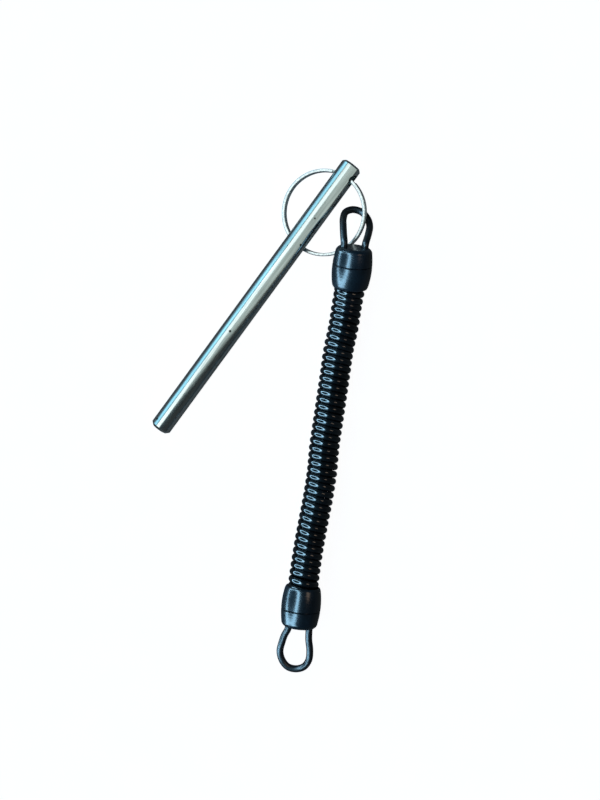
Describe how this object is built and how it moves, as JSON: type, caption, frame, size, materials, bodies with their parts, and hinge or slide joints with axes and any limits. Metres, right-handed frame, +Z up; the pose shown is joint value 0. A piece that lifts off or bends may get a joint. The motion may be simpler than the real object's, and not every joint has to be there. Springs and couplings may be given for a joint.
{
  "type": "hitch pin lock",
  "caption": "Cross-drilled steel hitch pin on a split ring, with a coiled plastic lanyard that ends in a loop, to lock a hitch or coupler and stay tied to the vehicle.",
  "frame": {"origin": "centre of the base of the pin and ring's box, on the surface that the part lies on, half way along the pin", "axes": "+Y along the pin towards its cross-drilled head end, +X to the side that the lanyard lies on, +Z up"},
  "size_m": [0.1124, 0.1638, 0.0191],
  "materials": {
    "pin_steel": "zinc-bright steel bar with a fine lengthwise drawn finish",
    "ring_steel": "nickel-plated spring steel",
    "cord_plastic": "glossy black polyurethane cord",
    "barrel_plastic": "semi-gloss black moulded plastic",
    "ferrule_brass": "plain crimped brass"
  },
  "bodies": {
    "ring": {"split_ring": "ring_steel"},
    "pin": {"pin": "pin_steel"},
    "lanyard_top": {"upper_loop": "cord_plastic", "upper_nose": "barrel_plastic", "upper_collar": "barrel_plastic", "upper_ferrule": "ferrule_brass", "coil": "cord_plastic"},
    "lanyard_end": {"lower_collar": "barrel_plastic", "lower_nose": "barrel_plastic", "lower_ferrule": "ferrule_brass", "lower_loop": "cord_plastic"}
  },
  "joints": [
    {"name": "pin_swing", "type": "hinge", "parent": "ring", "child": "pin", "pos_m": [-0.0015, 0.05575, 0.00872], "axis": [-0.9621, 0.0112, -0.2723], "range_deg": [0, 180]},
    {"name": "lanyard_swing", "type": "hinge", "parent": "ring", "child": "lanyard_top", "pos_m": [0, 0.04091, 0.0052], "axis": [0, 0, 1], "range_deg": [-10, 10]},
    {"name": "coil_stretch", "type": "slide", "parent": "lanyard_top", "child": "lanyard_end", "axis": [0.4714, -0.8819, 0], "range_m": [0, 0.25], "stiffness_N_per_m": 12, "deforming": ["coil"]}
  ]
}
